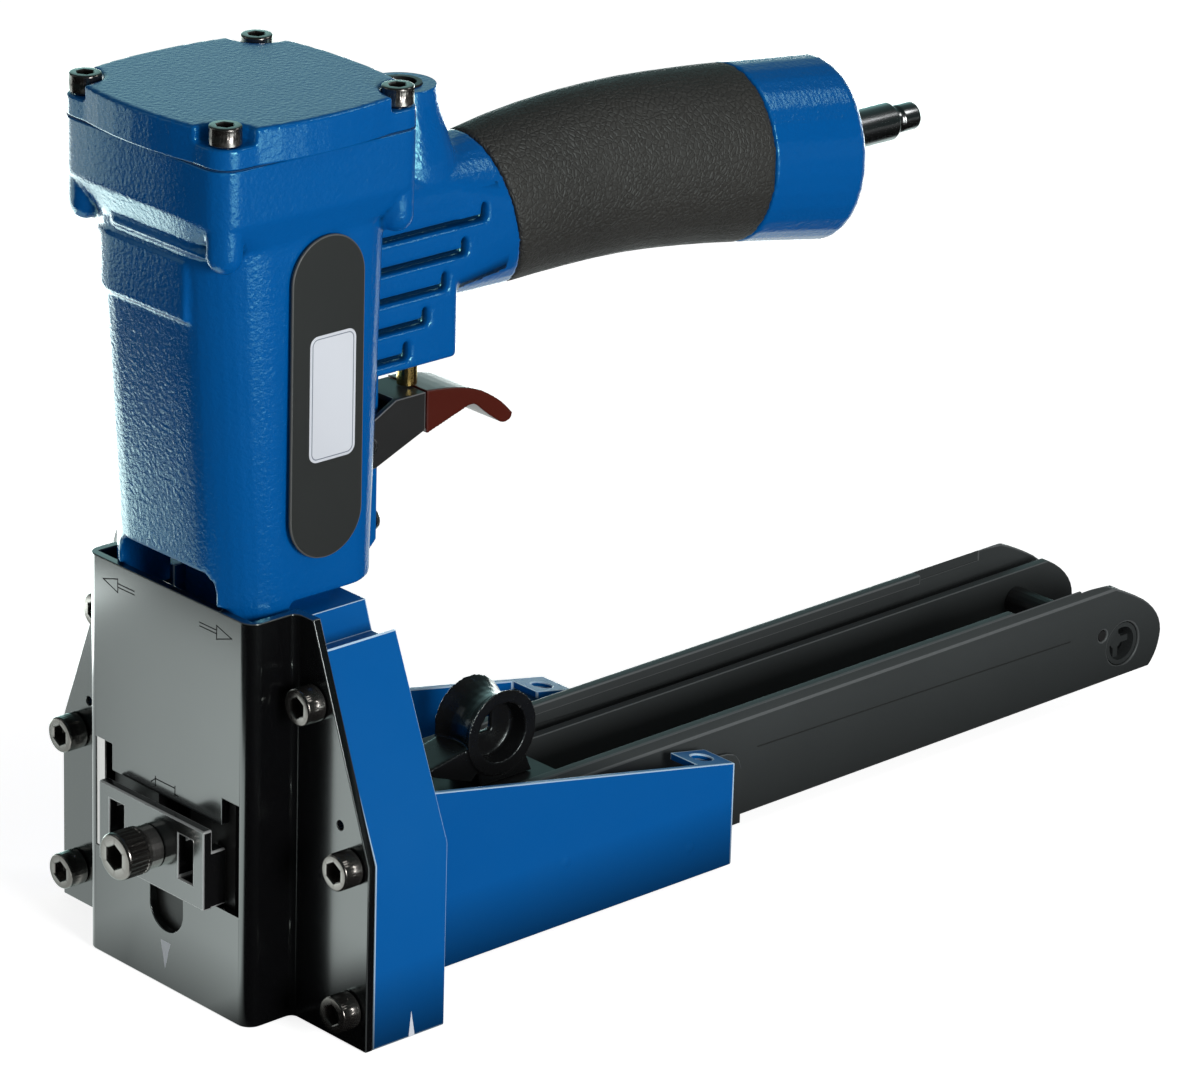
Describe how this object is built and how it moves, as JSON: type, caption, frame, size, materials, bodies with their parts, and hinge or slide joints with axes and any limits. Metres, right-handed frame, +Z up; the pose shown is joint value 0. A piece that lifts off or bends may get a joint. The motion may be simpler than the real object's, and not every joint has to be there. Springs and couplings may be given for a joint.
{
  "type": "pneumatic carton closing stapler",
  "caption": "Pneumatic carton closing stapler with grip handle, trigger, folded front cover, clinching claws and an open staple magazine.",
  "frame": {"origin": "on the nose's sole, in the middle plane, where the front cover's flanges meet the side blocks", "axes": "+Z up along the driver, +Y back along the handle and magazine, +X to the right as seen from the front"},
  "size_m": [0.128, 0.3804, 0.2475],
  "materials": {
    "enamel": "gloss blue enamel with a fine orange peel",
    "cover_enamel": "gloss black",
    "satin_black": "satin black",
    "black_oxide": "black oxide",
    "steel": "bright",
    "dark_steel": "dark",
    "brass": "turned",
    "grip_rubber": "leather-grained rubber",
    "finger_plastic": "red-brown",
    "gasket_fibre": "gasket fibre"
  },
  "bodies": {
    "tool_body": {"cylinder_housing": "enamel", "head_gasket": "gasket_fibre", "head_cap": "enamel", "cap_screw_front_left": "black_oxide", "cap_screw_front_right": "black_oxide", "cap_screw_rear_left": "black_oxide", "cap_screw_rear_right": "black_oxide", "cylinder_sleeve": "steel", "piston_bumper": "grip_rubber", "grip_sleeve": "grip_rubber", "air_nipple": "steel", "exhaust_insert": "dark_steel", "side_strip": "satin_black", "spine_screw": "black_oxide", "trigger_pin": "steel", "valve_body": "brass", "front_cover": "cover_enamel", "side_block_right": "enamel", "side_block_left": "enamel", "guide_block": "dark_steel", "rear_guide": "dark_steel", "flange_screw_low_left": "black_oxide", "flange_screw_low_right": "black_oxide", "flange_screw_mid_left": "black_oxide", "flange_screw_mid_right": "black_oxide", "flange_screw_top_left": "black_oxide", "flange_screw_top_right": "black_oxide", "claw_pin_right": "dark_steel", "claw_pin_left": "dark_steel", "magazine_rail_right": "satin_black", "magazine_rail_left": "satin_black", "staple_core": "dark_steel", "magazine_sleeve": "satin_black", "end_plug_right": "satin_black", "end_plug_left": "satin_black", "end_pin": "dark_steel", "end_spacer": "steel", "bracket_right": "enamel", "bracket_left": "enamel"},
    "driver": {"piston": "steel", "piston_seal": "grip_rubber", "driver_blade": "steel", "clinching_yoke": "dark_steel"},
    "claw_right": {"clinch_claw_right": "steel", "claw_roller_right": "dark_steel"},
    "claw_left": {"clinch_claw_left": "steel", "claw_roller_left": "dark_steel"},
    "trigger": {"trigger_lever": "dark_steel", "trigger_finger": "finger_plastic"},
    "valve": {"valve_stem": "brass"},
    "pusher": {"pusher_slider": "dark_steel", "pusher_knob": "satin_black"},
    "adjuster": {"adjuster_plate": "satin_black", "adjuster_bush": "black_oxide", "adjuster_nut": "steel"},
    "depth_screw": {"adjuster_screw": "black_oxide"}
  },
  "joints": [
    {"name": "driver_slide", "type": "slide", "parent": "tool_body", "child": "driver", "axis": [0, 0, -1], "range_m": [0, 0.028]},
    {"name": "claw_swing_right", "type": "hinge", "parent": "tool_body", "child": "claw_right", "pos_m": [0.0312, 0, 0.013], "axis": [0, 1, 0], "range_deg": [0, 115.2]},
    {"name": "claw_swing_left", "type": "hinge", "parent": "tool_body", "child": "claw_left", "pos_m": [-0.0312, 0, 0.013], "axis": [0, 1, 0], "range_deg": [-115.2, 0]},
    {"name": "trigger_swing", "type": "hinge", "parent": "tool_body", "child": "trigger", "pos_m": [0, 0.0444, 0.141], "axis": [1, 0, 0], "range_deg": [0, 8.5], "stiffness_Nm_per_rad": 0.6, "springref_deg": -5.73},
    {"name": "valve_lift", "type": "slide", "parent": "tool_body", "child": "valve", "axis": [0, 0, 1], "range_m": [0, 0.0033]},
    {"name": "pusher_slide", "type": "slide", "parent": "tool_body", "child": "pusher", "axis": [0, 1, 0.0087], "range_m": [0, 0.19], "stiffness_N_per_m": 20, "springref_m": -0.25},
    {"name": "depth_slide", "type": "slide", "parent": "tool_body", "child": "adjuster", "axis": [0, 0, 1], "range_m": [0, 0.007]},
    {"name": "depth_turn", "type": "hinge", "parent": "adjuster", "child": "depth_screw", "pos_m": [0, -0.03, 0.04265], "axis": [0, -1, 0], "range_deg": [0, 180]}
  ],
  "couplings": [
    {"joint": "claw_swing_right", "follows": "driver_slide", "rad_per_m": 71.683},
    {"joint": "claw_swing_left", "follows": "driver_slide", "rad_per_m": -71.683},
    {"joint": "valve_lift", "follows": "trigger_swing", "m_per_rad": 0.0216}
  ]
}
